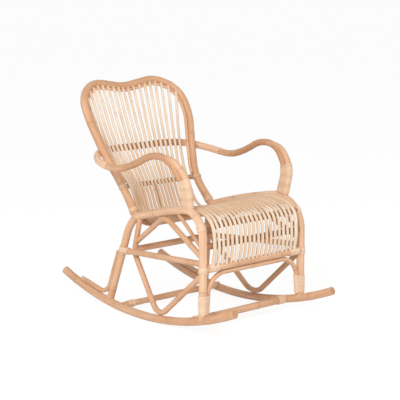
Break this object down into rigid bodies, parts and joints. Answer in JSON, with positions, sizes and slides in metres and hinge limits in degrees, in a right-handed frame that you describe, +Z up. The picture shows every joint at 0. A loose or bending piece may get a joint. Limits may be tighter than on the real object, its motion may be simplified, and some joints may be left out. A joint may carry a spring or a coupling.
{
  "type": "rattan rocking chair",
  "caption": "Rattan rocking chair with a heart-topped hoop back, waved arms, bent slats over back and seat, scrolled side frames and curved rockers.",
  "frame": {"origin": "on the floor, under the middle of the chair's box", "axes": "+Z up, +Y towards the back of the chair, +X to the sitter's left"},
  "size_m": [0.6086, 1.02, 0.8741],
  "materials": {
    "pole_rattan": "satin peeled rattan pole",
    "slat_rattan": "matt peeled thin rattan",
    "cane_binding": "satin cane binding",
    "dowel_wood": "plain wood dowel"
  },
  "bodies": {
    "root": {"back_hoop": "pole_rattan", "arm_bow": "pole_rattan", "back_rail": "pole_rattan", "front_bar": "pole_rattan", "rear_bar": "pole_rattan", "front_apron": "pole_rattan", "rear_stretcher": "pole_rattan", "front_arch": "pole_rattan", "seat_upper_front_rail": "pole_rattan", "seat_lower_front_rail": "pole_rattan", "seat_middle_rail": "pole_rattan", "seat_rear_rail": "pole_rattan", "seat_strut": "pole_rattan", "back_strut": "pole_rattan", "slats": "slat_rattan", "edge_slats": "slat_rattan", "joint_dowels": "dowel_wood", "rocker_left": "pole_rattan", "rocker_right": "pole_rattan", "front_leg_left": "pole_rattan", "front_leg_right": "pole_rattan", "rear_leg_left": "pole_rattan", "rear_leg_right": "pole_rattan", "side_stretcher_left": "pole_rattan", "side_stretcher_right": "pole_rattan", "lower_scroll_left": "pole_rattan", "lower_scroll_right": "pole_rattan", "upper_scroll_left": "pole_rattan", "upper_scroll_right": "pole_rattan", "rear_brace_left": "pole_rattan", "rear_brace_right": "pole_rattan", "corner_brace_left": "pole_rattan", "corner_brace_right": "pole_rattan", "arm_left": "pole_rattan", "arm_right": "pole_rattan", "arm_post_left": "pole_rattan", "arm_post_right": "pole_rattan", "arm_binding_left": "cane_binding", "arm_binding_right": "cane_binding", "foot_binding_left": "cane_binding", "foot_binding_right": "cane_binding", "apron_binding_left": "cane_binding", "apron_binding_right": "cane_binding", "post_binding_left": "cane_binding", "post_binding_right": "cane_binding", "stretcher_binding_left": "cane_binding", "stretcher_binding_right": "cane_binding", "front_bar_binding_left": "cane_binding", "front_bar_binding_right": "cane_binding", "rear_bar_binding_left": "cane_binding", "rear_bar_binding_right": "cane_binding"}
  },
  "joints": []
}
